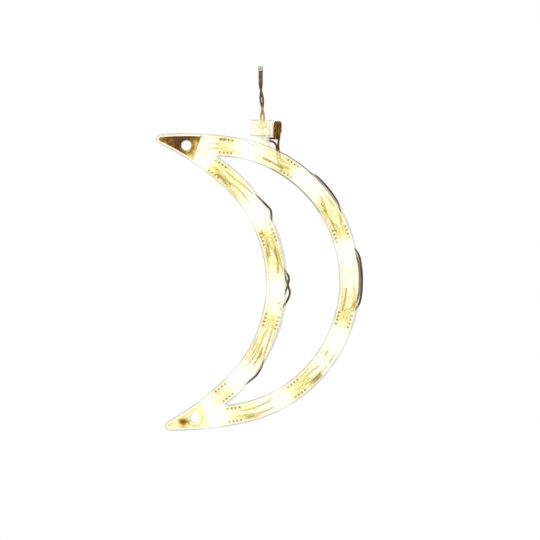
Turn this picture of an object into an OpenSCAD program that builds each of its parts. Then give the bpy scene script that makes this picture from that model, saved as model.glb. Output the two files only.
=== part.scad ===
// Lit crescent ornament: a clear open-backed channel with ten lamps, hung by a twisted pair of wires.
// X is right, Z is up, and the front faces -Y. The origin is the middle of the sleeve on the cord's top end.

/* [Crescent] */
// Radius of the outer leg's convex edge
outer_r = 81; // [78:0.5:84]
// Radius of the inner leg's convex edge
inner_r = 84; // [82:0.5:86]
// Distance between the centres of the two legs
centre_gap = 44; // [42:0.5:46]
// Width of each leg
leg_w = 11.4; // [11:0.1:12]
// Depth of the channel from front to back
depth = 10; // [9.6:0.1:11]
// Thickness of the side walls
wall = 1.5; // [1.2:0.1:1.7]
// Thickness of the front face
face_t = 1.2; // [1:0.1:1.3]
// Lean of the hung crescent, its top to the left
hang_tilt = 1.8; // [0:0.1:4]

/* [Tips] */
// Radius of each rounded tip
tip_r = 2.8; // [2.4:0.1:3.2]
// How far the tips' centres lie outside the circle of the inner leg's concave edge
tip_reach = 9.2; // [8.8:0.1:9.8]
// How far the tips' centres lie outside the circle of the outer leg's convex edge
tip_set = 3.91; // [3.5:0.01:4.4]
// Angle before the opening's corner where the outer edge starts to run out to the tip
outer_flare_deg = 9.4; // [8.4:0.1:11]
// Angle before the opening's corner where the inner edge starts to run out to the tip
inner_flare_deg = 8.9; // [7.5:0.1:11]
// Radius of the eyelet hole in each tip
eyelet_r = 2.8; // [2.2:0.1:3]
// Distance of the eyelet's centre from the tip's centre
eyelet_in = 14.8; // [13.6:0.2:16]
// Height of the collar round the eyelet, above the front face
collar_h = 2.4; // [1:0.2:4]
// Thickness of the collar
collar_t = 0.7; // [0.5:0.1:1]
// Distance of the partition from the opening's corner, towards the tip
partition_in = 12.7; // [12.2:0.1:13.2]
// Lean of the partition
partition_deg = 21; // [16:1:26]

/* [Channel detail] */
// Width of a flute on the inside of the front face
flute_w = 0.5; // [0.3:0.1:0.7]
// Height of a flute
flute_h = 0.4; // [0.2:0.05:0.45]
// Distance from one flute to the next
flute_pitch = 1.2; // [1:0.1:1.3]
// Number of flutes in a leg
flute_count = 7; // [3:2:7]
// Thickness of a rib that grips a lamp
rib_t = 0.9; // [0.6:0.1:1.1]
// Distance from one rib to the next
rib_pitch = 2.2; // [1.8:0.1:2.4]
// Height of a rib above the front face's inside
rib_h = 4.6; // [3:0.2:5.4]
// Number of ribs on each side of a lamp
rib_count = 4; // [2:1:4]

/* [Lamps] */
// Places of the outer leg's lamps, as shares of the way from its middle to the opening's corner
outer_lamp_shares = [0.2116, 0.6234, 0.9552];
// Places of the inner leg's lamps, as shares of the way from its middle to the opening's corner
inner_lamp_shares = [0.3133, 0.9487];
// Radius of a lamp's lens
lens_r = 2.5; // [2:0.1:2.6]
// Length of a lens, from its base to its round nose
lens_len = 8.6; // [7.6:0.2:9]
// Length of the lens that the sleeve holds
lens_grip = 3; // [2:0.2:3.4]
// Length of the sleeve over a lamp's joints
sleeve_len = 9; // [8:0.2:9.6]
// Wall of the sleeve
sleeve_t = 0.35; // [0.25:0.05:0.4]
// Thickness of a lamp's metal legs
leg_t = 0.5; // [0.4:0.05:0.6]
// Distance between a lamp's two legs
leg_pitch = 2.54; // [2.3:0.02:2.6]
// Length of a lamp's legs inside the lens
leg_in = 4.4; // [3:0.2:5]
// Length of a lamp's legs behind the lens
leg_out = 2.6; // [2:0.2:3.4]
// Width of the plate at the end of a leg
plate_w = 1; // [0.8:0.1:1.2]

/* [Cap and neck] */
// Drop from the origin to the cap's top
drop = 28.5; // [26:0.5:32]
// Shift of the cap's axis to the right of the origin
cap_x = 1; // [0:0.1:2]
// Width of the cap
cap_w = 12.3; // [11.6:0.1:13]
// Depth of the cap
cap_d = 10; // [9.4:0.1:11]
// Height of the cap
cap_h = 9.2; // [8.8:0.1:10]
// Thickness of the cap's top
cap_top_t = 1.6; // [1.2:0.1:2]
// Radius of the cap's cord hole at its throat
throat_r = 1.9; // [1.7:0.05:2.1]
// Radius of the cap's cord hole at its mouth
mouth_r = 2.9; // [2.6:0.1:3.2]
// Width of the neck
neck_w = 8.4; // [8:0.1:8.8]
// Depth of the neck
neck_d = 7.6; // [7.2:0.1:7.8]
// Gap between the cap and the crescent, where the neck shows
neck_show = 4.3; // [4.1:0.1:5]
// Place of the neck on the outer leg, as a share of the way from the first lamp to the last
neck_share = 0.5103; // [0.48:0.001:0.56]
// Width of the passage down the neck
bore_w = 5; // [4.6:0.1:5.2]
// Depth of the passage down the neck
bore_d = 4.4; // [4.2:0.1:4.6]
// How far the snap ridge stands out of the neck
snap_out = 0.5; // [0.3:0.1:0.8]
// Height of the snap ridge
snap_h = 0.9; // [0.6:0.1:1.2]
// Radius of the crimp that stops the cord inside the cap
crimp_r = 2.7; // [2.6:0.05:2.9]
// Height of the crimp
crimp_h = 2.9; // [2.4:0.1:3]

/* [Wires] */
// Diameter of each insulated wire
wire_d = 1.2; // [1:0.05:1.25]
// Length of one turn of the twisted pair
lay = 29; // [20:1:40]
// Distance of each wire from the middle of the pair, where it is tight
pair_r = 0.68; // [0.66:0.01:0.8]
// How much further the wires stand apart where the twist has sprung open
pair_swell = 0.26; // [0:0.02:0.4]
// Radius of the sleeve on the cord's top end
top_sleeve_r = 1.75; // [1.6:0.05:2.2]
// Height of the sleeve on the cord's top end
top_sleeve_h = 2.8; // [2.4:0.1:3.4]
// Radius of the slack coil, at the middle of the wire
coil_r = 4.6; // [4.3:0.1:4.8]
// Step of the slack coil from one loop to the next
coil_pitch = 1.62; // [1.62:0.01:1.8]
// Radius of a wire hole in the neck
wire_hole_r = 0.75; // [0.72:0.01:0.8]
// Thickness of the tie round the slack coil
tie_t = 0.4; // [0.3:0.05:0.5]
// Width of the tie
tie_w = 1.6; // [1.2:0.1:2]

/* [Hidden] */
// Running clearance between a piece and the one that holds it
fit = 0.05;
// How far a cut runs past the face that it opens
overrun = 1;
// How far an added rib runs into the wall that carries it
embed = 0.3;
// Distance between the rings of a swept wire
ring_step = 2.6;
// Rings in one loop of the coil
loop_steps = 24;
// Distance between the rings of the twisted cord
cord_step = 2;
wire_sides = 8;
loop_sides = 6;
$fn = 96;

wire_r = wire_d / 2;
half = depth / 2;
floor_b = face_t - half;
mid_r = [outer_r - leg_w / 2, inner_r - leg_w / 2];
leg_centre = [[0, 0], [-centre_gap, 0]];
outer_in_r = outer_r - leg_w;
inner_in_r = inner_r - leg_w;

// Where circles of radius a about the outer leg's centre and b about the inner leg's centre cross.
function crossing(a, b) =
    let(x = (b * b - a * a - centre_gap * centre_gap) / (2 * centre_gap)) [x, sqrt(a * a - x * x)];
tip_c = crossing(outer_r + tip_set, inner_in_r + tip_reach);
corner = crossing(outer_in_r, inner_r);
outer_corner_deg = atan2(corner.y, corner.x);
inner_corner_deg = atan2(corner.y, corner.x + centre_gap);
outer_flare_at = outer_corner_deg - outer_flare_deg;
inner_flare_at = inner_corner_deg - inner_flare_deg;
outer_lamp_deg = outer_lamp_shares * outer_corner_deg;
inner_lamp_deg = inner_lamp_shares * inner_corner_deg;
neck_deg = outer_lamp_deg[1] + neck_share * (outer_lamp_deg[2] - outer_lamp_deg[1]);
// The eyelet lies midway between the two edges of the tip.
eyelet_deg = 16;
// The flutes end short of the place where the outer edge flares.
flute_end_deg = 3;

// The cap hangs under the cord, the neck under the cap, and the crescent under the neck.
cap_top_z = -drop;
cap_under_z = cap_top_z - cap_top_t;
cap_bottom_z = cap_top_z - cap_h;
neck_foot_z = cap_bottom_z - neck_show;
crimp_top_z = cap_under_z - fit;
crimp_bottom_z = crimp_top_z - crimp_h;
neck_top_z = crimp_bottom_z - 4 * fit;
neck_sink = 5 * wall;
snap_z = cap_bottom_z + 2 * snap_h;
centre_x = cap_x - outer_r * cos(neck_deg + hang_tilt);
centre_z = neck_foot_z - outer_r * sin(neck_deg + hang_tilt);

// The cord leans from the origin to the cap's axis as it comes down.
lean_top_z = -8;
lean_bottom_z = -24;
// The height where the twist has sprung open, how far that reaches, and the twist's start.
swell_z = -18;
swell_reach = 8;
twist_start_z = crimp_bottom_z + 1.95;

// A lamp's axis stands a running gap off the flutes, and the wires pass behind its lens.
sleeve_r = lens_r + fit + sleeve_t;
axis_b = floor_b + flute_h + 2 * fit + sleeve_r;
wire_b = axis_b + lens_r + wire_r + 6 * fit;
wire_x = leg_pitch / 2;
lobe_r = wire_r + fit + sleeve_t;
lamps = [
    [0, outer_lamp_deg[1], -1], [0, outer_lamp_deg[0], -1], [0, -outer_lamp_deg[0], -1],
    [0, -outer_lamp_deg[1], -1], [0, -outer_lamp_deg[2], -1],
    [1, -inner_lamp_deg[1], 1], [1, -inner_lamp_deg[0], 1], [1, inner_lamp_deg[0], 1],
    [1, inner_lamp_deg[1], 1], [0, outer_lamp_deg[2], -1]
];
lamp_count = len(lamps);
span_count = lamp_count - 1;

// Where the wires run between two lamps: share of the span, offset from the leg's middle towards
// its convex edge, and distance behind the middle of the channel. The first list is the wire on
// the outside of the run down the outer leg, the second is the wire beside it.
span_routes = [
    [[[0.18, 2.6, 5.2], [0.25, 4.2, 5.9], [0.34, 5.6, 5.9], [0.5, 5.7, 5.9], [0.66, 5.5, 5.9],
      [0.76, 4, 5.9], [0.84, 2.4, 4.8]],
     [[0.25, -1.6, 3.4], [0.5, -0.4, 3.5], [0.7, -2.8, 3.4], [0.82, -2.4, 3.3]]],
    [[[0.16, 3, 5.3], [0.23, 5, 5.9], [0.32, 6, 5.9], [0.5, 6.2, 5.9], [0.68, 6.1, 5.9],
      [0.78, 5.2, 5.9], [0.87, 2.8, 5.3]],
     [[0.16, 0.8, 4.7], [0.23, 3, 5.9], [0.34, 4.4, 5.9], [0.5, 4.6, 5.9], [0.68, 4.3, 5.9],
      [0.78, 2.8, 5.9], [0.87, 0.6, 4.8]]],
    [[[0.3, 2.2, 3.6], [0.55, 2.8, 3.8], [0.8, 2.0, 3.5]],
     [[0.3, -1.8, 3.4], [0.6, -1.0, 3.5], [0.8, -1.9, 3.3]]],
    [[[0.35, 2.4, 3.5], [0.65, 2.6, 3.6]],
     [[0.35, -2.0, 3.4], [0.65, -1.2, 3.5]]],
    [],
    [[[0.3, -1.8, 3.4], [0.6, -1.2, 3.5], [0.8, -2.0, 3.3]],
     [[0.17, 2.6, 5.2], [0.25, 4.3, 5.9], [0.36, 5.5, 5.9], [0.48, 5.2, 5.9], [0.58, 3.4, 5.9],
      [0.7, 2.2, 4.4]]],
    [[[0.18, 0.4, 5.4], [0.28, 2.6, 7.2], [0.38, 4.6, 7.5], [0.5, 6.2, 6.9], [0.58, 4.4, 7.2],
      [0.68, 1.8, 6.9], [0.8, 0.2, 5.0]],
     [[0.15, 2.8, 5.4], [0.21, 4.6, 6.0], [0.28, 6.2, 5.9], [0.35, 6.9, 5.9], [0.43, 5.6, 5.8],
      [0.52, 4.2, 5.8], [0.62, 3.0, 5.8], [0.74, 2.2, 4.6]]],
    [[[0.3, -1.6, 3.4], [0.6, -1.0, 3.6], [0.8, -1.8, 3.3]],
     [[0.14, 3, 5.4], [0.19, 4.8, 5.9], [0.27, 6.5, 5.9], [0.35, 5.7, 5.9], [0.45, 4.6, 5.9],
      [0.56, 3, 5.4], [0.7, 2, 3.8]]],
    []
];
// Where the wires turn round inside the lower tip, from the opening's corner there, and inside the
// upper one the other way round.
turn_routes = [
    [[-3.13, -7.67], [-7.53, -6.67], [-9.53, -2.87], [-8.53, 1.33]],
    [[-3.13, -5.07], [-6.63, -3.97], [-7.53, -1.07], [-6.03, 1.63]]
];
// Where the two wires run from the crimp to the first lamp, from the cap's axis and its bottom edge.
coil_lead = [[0.4, 0.6, 1.9], [0.4, 1.1, 0.6], [0.9, 1.3, -0.6], [2.1, 1.3, -1.25], [4.3, 1.3, -1.3],
    [5.7, 1.1, -1.3]];
coil_tail = [[10.9, 2.9, 7], [10.5, 5.5, 5], [10, 6.5, 2.2], [9.6, 6.6, -0.8], [8.9, 6.2, -3.8],
    [8.7, 5.9, -7], [9.3, 5.8, -10.6], [10.1, 4.8, -14]];
return_lead = [[-0.5, -0.6, 1.4], [-0.4, -0.9, -0.4], [0.6, -0.9, -2.2], [2.2, -0.9, -2.9],
    [4.3, -0.9, -2.9], [5.8, 0.3, -3.2], [6.8, 2.8, -4], [7.3, 5.4, -5.2], [7.4, 5.9, -7.6],
    [7.8, 5.9, -10.8], [8.4, 5.1, -14.2]];

function two(i) = i < 10 ? str("0", i) : str(i);
function polar(r, a) = [r * cos(a), r * sin(a)];
function unit(v) = v / norm(v);

// The arc that leaves the point p of a circle, whose normal there is n, and closes on the tip:
// from outside the tip for the outer edge, and from the other side for the inner edge.
function outer_flare(p, n) = let(d = tip_c - p) (tip_r * tip_r - d * d) / (2 * (d * n + tip_r));
function inner_flare(p, n) = let(d = tip_c - p) (d * d - tip_r * tip_r) / (2 * (tip_r - d * n));
outer_n = polar(1, outer_flare_at);
inner_n = polar(1, inner_flare_at);
outer_p = outer_r * outer_n;
inner_p = leg_centre[1] + inner_in_r * inner_n;
outer_flare_r = outer_flare(outer_p, outer_n);
inner_flare_r = inner_flare(inner_p, inner_n);
outer_flare_c = outer_p - outer_flare_r * outer_n;
inner_flare_c = inner_p - inner_flare_r * inner_n;

// The crescent's own plane: x along its axis of symmetry, y up, z towards the front.
module place() {
    translate([centre_x, 0, centre_z]) rotate([0, -hang_tilt, 0]) rotate([90, 0, 0]) children();
}

// The region where the flared edges bound the tip, cut square to both edges where the flares start.
flare_cut = [
    outer_p + leg_w / 2 * outer_n, outer_p - leg_w / 2 * outer_n,
    inner_p + leg_w / 2 * inner_n, inner_p - leg_w / 2 * inner_n
];
module flare_zone() {
    reach = leg_w / 2;
    polygon(concat(flare_cut, [
        tip_c - reach * unit(tip_c - inner_flare_c), tip_c,
        tip_c + reach * unit(tip_c - outer_flare_c)
    ]));
}

module beyond_zone() {
    polygon(concat(flare_cut, [inner_p - [outer_r, 0], outer_p + [-outer_r, outer_r]]));
}

module tip_outline(inset) {
    intersection() {
        difference() {
            translate(outer_flare_c) circle(outer_flare_r - inset, $fn = 240);
            translate(inner_flare_c) circle(inner_flare_r + inset, $fn = 240);
        }
        flare_zone();
    }
    translate(tip_c) circle(tip_r - inset);
}

module outline(inset) {
    difference() {
        circle(outer_r - inset, $fn = 240);
        translate(leg_centre[1]) circle(inner_in_r + inset, $fn = 240);
        beyond_zone();
        mirror([0, 1]) beyond_zone();
    }
    tip_outline(inset);
    mirror([0, 1]) tip_outline(inset);
}

module opening(outset) {
    difference() {
        circle(outer_in_r + outset, $fn = 240);
        translate(leg_centre[1]) circle(inner_r - outset, $fn = 240);
    }
}

// The wall between a tip's compartment and the channel.
module partition() {
    reach = 2 * leg_w;
    translate(corner) rotate(-partition_deg)
        translate([-partition_in - wall / 2, -reach]) square([wall, 2 * reach]);
}

module hollow() {
    difference() {
        outline(wall);
        opening(wall);
        partition();
        mirror([0, 1]) partition();
    }
}

// Ridges along the inside of the front face.
module flutes() {
    reach_deg = [outer_flare_at - flute_end_deg, inner_flare_at];
    for (leg = [0, 1]) translate(leg_centre[leg]) rotate(-reach_deg[leg])
        for (k = [0:flute_count - 1])
            rotate_extrude(angle = 2 * reach_deg[leg], $fn = 240)
                translate([mid_r[leg] + (k - (flute_count - 1) / 2) * flute_pitch - flute_w / 2,
                           half - face_t - flute_h])
                    square([flute_w, flute_h + embed]);
}

// A lamp's own frame: x outwards across the leg, y towards the lens, z to the front.
module at_lamp(i) {
    leg = lamps[i - 1][0];
    turn = lamps[i - 1][2];
    place() translate(leg_centre[leg]) rotate(lamps[i - 1][1]) translate([mid_r[leg], 0, 0])
        if (turn > 0) children(); else mirror([0, 1, 0]) children();
}

module ribs(i) {
    inner_half = leg_w / 2 - wall;
    first = -(rib_count - 1) / 2 * rib_pitch;
    at_lamp(i) for (side = [-1, 1], k = [0:rib_count - 1])
        translate([side > 0 ? sleeve_r + fit : -inner_half - embed,
                   first + k * rib_pitch - rib_t / 2, half - face_t - rib_h])
            cube([inner_half + embed - sleeve_r - fit, rib_t, rib_h + embed]);
}

module eyelet_place() {
    for (up = [0, 1]) mirror([0, up]) translate(tip_c + polar(eyelet_in, -eyelet_deg)) children();
}

module neck_block() {
    translate([cap_x - neck_w / 2, -neck_d / 2, neck_foot_z - neck_sink])
        cube([neck_w, neck_d, neck_top_z - neck_foot_z + neck_sink]);
    for (side = [0, 1]) translate([cap_x, 0, 0]) mirror([side, 0, 0])
        translate([neck_w / 2 - embed, -neck_d / 2, snap_z]) cube([snap_out + embed, neck_d, snap_h]);
}

module crescent_frame() {
    color([1, 0.97, 0.82, 0.45]) {
        difference() {
            union() {
                difference() {
                    union() {
                        place() translate([0, 0, -half]) linear_extrude(depth) difference() {
                            outline(0);
                            opening(0);
                        }
                        neck_block();
                    }
                    place() translate([0, 0, -half - overrun])
                        linear_extrude(depth - face_t + overrun) hollow();
                }
                place() eyelet_place()
                    translate([0, 0, half - face_t - collar_h])
                        cylinder(h = collar_h + embed, r = eyelet_r + collar_t);
                place() flutes();
                for (i = [1:lamp_count]) ribs(i);
            }
            place() eyelet_place() translate([0, 0, -half - overrun])
                cylinder(h = depth + 2 * overrun, r = eyelet_r);
            translate([cap_x - bore_w / 2, -bore_d / 2, neck_foot_z - neck_sink])
                cube([bore_w, bore_d, neck_top_z - neck_foot_z + neck_sink + overrun]);
            for (hole = [coil_lead[4], return_lead[4]])
                translate([cap_x + bore_w / 2 - overrun, hole.y, cap_bottom_z + hole.z])
                    rotate([0, 90, 0])
                        cylinder(h = (neck_w - bore_w) / 2 + 2 * overrun, r = wire_hole_r);
        }
    }
}

module neck_cap() {
    inner_w = neck_w + 2 * fit;
    inner_d = neck_d + 2 * fit;
    color([1, 0.98, 0.88, 0.5]) difference() {
        translate([cap_x - cap_w / 2, -cap_d / 2, cap_bottom_z]) cube([cap_w, cap_d, cap_h]);
        translate([cap_x - inner_w / 2, -inner_d / 2, cap_bottom_z - overrun])
            cube([inner_w, inner_d, cap_h - cap_top_t + overrun]);
        for (side = [0, 1]) translate([cap_x, 0, 0]) mirror([side, 0, 0])
            translate([neck_w / 2 - embed, -inner_d / 2, snap_z - fit])
                cube([snap_out + embed + fit, inner_d, snap_h + 2 * fit]);
        translate([cap_x, 0, cap_under_z]) cylinder(h = cap_top_t, r1 = throat_r, r2 = mouth_r);
        translate([cap_x, 0, cap_top_z]) cylinder(h = overrun, r = mouth_r);
        translate([cap_x, 0, cap_under_z - overrun]) cylinder(h = overrun, r = throat_r);
    }
}

module top_sleeve() {
    color([0.86, 0.82, 0.78]) translate([0, 0, -top_sleeve_h / 2])
        cylinder(h = top_sleeve_h, r = top_sleeve_r);
}

module cord_crimp() {
    color([0.92, 0.86, 0.6]) translate([cap_x, 0, crimp_bottom_z]) cylinder(h = crimp_h, r = crimp_r);
}

// A tube along the points p: each ring's first side is carried on from the ring before it.
function tangent(p, i) = unit(p[min(i + 1, len(p) - 1)] - p[max(i - 1, 0)]);
function square_to(s, t) = unit(s - (s * t) * t);
function carried(p, i, s) = i >= len(p) ? [] :
    let(n = square_to(s, tangent(p, i))) concat([n], carried(p, i + 1, n));

module tube(p, sides, first_side) {
    n = carried(p, 0, first_side);
    last = (len(p) - 1) * sides;
    points = [for (i = [0:len(p) - 1], k = [0:sides - 1])
        let(a = k * 360 / sides, t = tangent(p, i))
        p[i] + wire_r * (cos(a) * n[i] + sin(a) * cross(t, n[i]))];
    side_faces = [for (i = [0:len(p) - 2], k = [0:sides - 1])
        let(a = i * sides + k, b = i * sides + (k + 1) % sides, c = b + sides, d = a + sides)
        each [[a, d, c], [a, c, b]]];
    end_faces = [for (k = [1:sides - 2]) each [[0, k, k + 1], [last, last + k + 1, last + k]]];
    polyhedron(points, concat(side_faces, end_faces), convexity = 6);
}

// A smooth line through the points p, with its first and last stretches kept straight.
function slope(p, i) = (p[i + 1] - p[i - 1]) / 2;
function between(p, i, t) =
    (2 * t * t * t - 3 * t * t + 1) * p[i] + (t * t * t - 2 * t * t + t) * slope(p, i) +
    (3 * t * t - 2 * t * t * t) * p[i + 1] + (t * t * t - t * t) * slope(p, i + 1);
function steps(p, i, step) = max(1, round(norm(p[i + 1] - p[i]) / step));
function smooth(p, step) = concat([p[0]],
    [for (i = [1:len(p) - 3]) let(n = steps(p, i, step)) for (k = [0:n - 1]) between(p, i, k / n)],
    [p[len(p) - 2], p[len(p) - 1]]);

function eased(t) = t <= 0 ? 0 : t >= 1 ? 1 : t * t * (3 - 2 * t);
function cord_x(z) = cap_x * eased((lean_top_z - z) / (lean_top_z - lean_bottom_z));
function cord_turn(z) = (twist_start_z - z) * 360 / lay;
function cord_r(z) = pair_r + pair_swell * eased(1 - abs(z - swell_z) / swell_reach);
function cord_point(side, z) =
    [cord_x(z) + side * cord_r(z) * cos(cord_turn(z)), side * cord_r(z) * sin(cord_turn(z)), z];

module cord_wire(side) {
    top = -top_sleeve_h / 2 - 2 * fit;
    bottom = crimp_top_z + 2 * fit;
    n = ceil((top - bottom) / cord_step);
    color([0.36, 0.22, 0.14])
        tube(concat([cord_point(side, top) + [0, 0, 2 * fit]],
                    [for (k = [0:n]) cord_point(side, top + (bottom - top) * k / n)],
                    [cord_point(side, bottom) - [0, 0, 2 * fit]]),
             wire_sides, [1, 0, 0]);
}

// A point of the crescent's plane, as it lies in the part.
function placed(q) = let(c = cos(hang_tilt), s = sin(hang_tilt))
    [centre_x + q.x * c - q.y * s, -q.z, centre_z + q.x * s + q.y * c];
function seat(i, along, across, b) =
    let(lamp = lamps[i - 1], leg = lamp[0], a = lamp[1], turn = lamp[2],
        q = leg_centre[leg] + polar(mid_r[leg] + across, a) + turn * along * [-sin(a), cos(a)])
    [q.x, q.y, -b];
// The first wire lies on the left of the way that the lamps point.
function wire_seat(i, along, first) =
    seat(i, along, (first ? -1 : 1) * lamps[i - 1][2] * wire_x, wire_b);

function from_cap(q) = [cap_x + q.x, q.y, cap_bottom_z + q.z];
function into_first(first) =
    [placed(wire_seat(1, -sleeve_len / 2 - wire_r, first)), placed(wire_seat(1, 0, first))];

// The loops stand beside the cap, about an axis along X, and start at their bottom going forwards.
coil_first_deg = 14;
coil_last_deg = 2 * 360 + 170;
coil_z = cap_bottom_z + coil_lead[4].z + coil_r;
coil_x = cap_x + cap_w / 2 + wire_r + 2 * fit;
coil_side_y = 0.2;
tail_drift = 0.3;
function coil_point(a) = [coil_x + coil_pitch * a / 360, coil_side_y - coil_r * sin(a),
    coil_z - coil_r * cos(a)];
coil_loops = [for (k = [0:loop_steps * (coil_last_deg - coil_first_deg) / 360])
    coil_point(coil_first_deg + k * 360 / loop_steps)];
function from_crimp(side) =
    let(q = cord_point(side, crimp_bottom_z)) [q, q - [0, 0, 2 * fit]];
coil_path = concat(
    smooth(concat(from_crimp(1), [for (q = coil_lead) from_cap(q)],
        [coil_loops[0], coil_loops[1]]), ring_step / 2),
    [for (k = [2:len(coil_loops) - 2]) coil_loops[k]],
    smooth(concat([coil_loops[len(coil_loops) - 1]], [for (q = coil_tail) from_cap(q)],
        into_first(true)), ring_step / 2));
// The least clear distance between one loop and the others, or the tail.
coil_gap = min([for (i = [0:len(coil_path) - 1], j = [0:len(coil_path) - 1])
    if (j - i > loop_steps / 3) norm(coil_path[i] - coil_path[j]) - wire_d]);
echo(coil_least_gap = coil_gap);

module slack_coil() {
    color([0.42, 0.24, 0.1]) tube(coil_path, loop_sides, [1, 0, 0]);
}

module return_wire() {
    color([0.42, 0.24, 0.1])
        tube(smooth(concat(from_crimp(-1), [for (q = return_lead) from_cap(q)],
            into_first(false)), ring_step), wire_sides, [1, 0, 0]);
}

// A band round the coil's loops where they come down at the back, and the tail behind them.
module slack_tie() {
    bend = coil_r - sqrt(coil_r * coil_r - tie_w * tie_w / 4);
    drift = coil_pitch * asin(tie_w / 2 / coil_r) / 360;
    near = coil_point(270).x - wire_r - fit - drift;
    far = from_cap(coil_tail[2]).x + wire_r + fit + drift + tail_drift;
    front = coil_side_y + coil_r - wire_r - fit - bend;
    back = coil_tail[3].y + wire_r + fit;
    color([0.9, 0.9, 0.86]) translate([0, 0, coil_z - tie_w / 2]) difference() {
        translate([near - tie_t, front - tie_t, 0])
            cube([far - near + 2 * tie_t, back - front + 2 * tie_t, tie_w]);
        translate([near, front, -overrun]) cube([far - near, back - front, tie_w + 2 * overrun]);
    }
}

// The place of a lamp's axis, with z along it towards the nose.
module on_axis(i) {
    at_lamp(i) translate([0, 0, -axis_b]) rotate([-90, 0, 0]) children();
}
lens_base = sleeve_len / 2 - lens_grip;

module lead_shapes(gap) {
    for (side = [-1, 1]) translate([side * wire_x, 0, 0]) {
        translate([-leg_t / 2 - gap, -leg_t / 2 - gap, lens_base - leg_out])
            cube([leg_t + 2 * gap, leg_t + 2 * gap, leg_out + leg_in + gap]);
        translate([-side * (plate_w / 2 + leg_t / 2) - plate_w / 2 - gap, -leg_t / 2 - gap,
                   lens_base + leg_in - plate_w - gap])
            cube([plate_w + leg_t / 2 + 2 * gap, leg_t + 2 * gap, plate_w + 2 * gap]);
    }
}

module lamp_lens(i) {
    color([1, 0.93, 0.7, 0.6]) on_axis(i) difference() {
        union() {
            translate([0, 0, lens_base]) cylinder(h = lens_len - lens_r, r = lens_r);
            translate([0, 0, lens_base + lens_len - lens_r]) sphere(lens_r);
        }
        lead_shapes(fit / 2);
    }
}

// Two legs with their plates in the lens, each bent up to a wire behind it.
module lamp_leads(i) {
    rise = wire_b - axis_b - wire_r;
    color([0.75, 0.75, 0.76]) on_axis(i) {
        lead_shapes(0);
        for (side = [-1, 1]) translate([side * wire_x - leg_t / 2, 0, lens_base - leg_out])
            cube([leg_t, rise, leg_t]);
    }
}

module sleeve_section(grow) {
    circle(lens_r + fit + grow);
    for (side = [-1, 1]) translate([side * wire_x, wire_b - axis_b]) circle(wire_r + fit + grow);
    if (grow > 0) {
        translate([-wire_x - wire_r - fit - grow, 0])
            square([2 * (wire_x + wire_r + fit + grow), wire_b - axis_b]);
        translate([-wire_x, 0]) square([2 * wire_x, wire_b - axis_b + wire_r + fit + grow]);
    }
}

// A shrunk sleeve over the base of the lens, the joints and the two wires. The last one is closed.
module lamp_sleeve(i) {
    last = i == lamp_count;
    inside = lens_base - leg_out - 2 * fit;
    color([1, 0.96, 0.84, 0.6]) on_axis(i) translate([0, 0, -sleeve_len / 2]) difference() {
        linear_extrude(sleeve_len) sleeve_section(sleeve_t);
        translate([0, 0, -overrun]) linear_extrude((last ? sleeve_len / 2 : sleeve_len + overrun) + overrun)
            for (side = [-1, 1]) translate([side * wire_x, wire_b - axis_b]) circle(wire_r + fit);
        translate([0, 0, sleeve_len / 2 + inside])
            cylinder(h = sleeve_len / 2 - inside + overrun, r = lens_r + fit);
        translate([-wire_x - leg_t / 2 - fit, 0, sleeve_len / 2 + inside])
            cube([2 * wire_x + leg_t + 2 * fit, wire_b - axis_b, leg_t + 4 * fit]);
    }
}

function on_leg(leg, a, across, b) =
    let(q = leg_centre[leg] + polar(mid_r[leg] + across, a)) [q.x, q.y, -b];
function turn_points(first, upper) =
    let(r = turn_routes[first ? 0 : 1], n = len(r) - 1)
    [for (k = [0:n]) let(q = r[upper ? n - k : k])
        [corner.x + q.x, (upper ? 1 : -1) * (corner.y - q.y), -wire_b]];
function via(i, first) =
    let(from = lamps[i - 1], to = lamps[i])
    from[0] != to[0] ? turn_points(first, i > lamp_count / 2) :
    [for (q = span_routes[i - 1][first ? 0 : 1])
        on_leg(from[0], from[1] + (to[1] - from[1]) * q[0], q[1], q[2])];
function span_path(i, first) = smooth(concat(
    [wire_seat(i, 0, first), wire_seat(i, sleeve_len / 2 + wire_r, first)], via(i, first),
    [wire_seat(i + 1, -sleeve_len / 2 - wire_r, first), wire_seat(i + 1, 0, first)]), ring_step);

module span_wires(i) {
    color([0.5, 0.33, 0.12]) place() for (first = [true, false])
        tube(span_path(i, first), wire_sides, [0, 0, 1]);
}

crescent_frame();
neck_cap();
top_sleeve();
cord_wire(1);  // cord_wire_a
cord_wire(-1);  // cord_wire_b
cord_crimp();
slack_coil();
return_wire();
slack_tie();
for (i = [1:lamp_count]) {
    lamp_lens(i);
    lamp_leads(i);
    lamp_sleeve(i);
}
for (i = [1:span_count])
    span_wires(i);
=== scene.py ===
# Lit crescent ornament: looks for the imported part, photographed from the front on white.
from math import atan2, cos, pi, radians, sin, sqrt, tau

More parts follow.
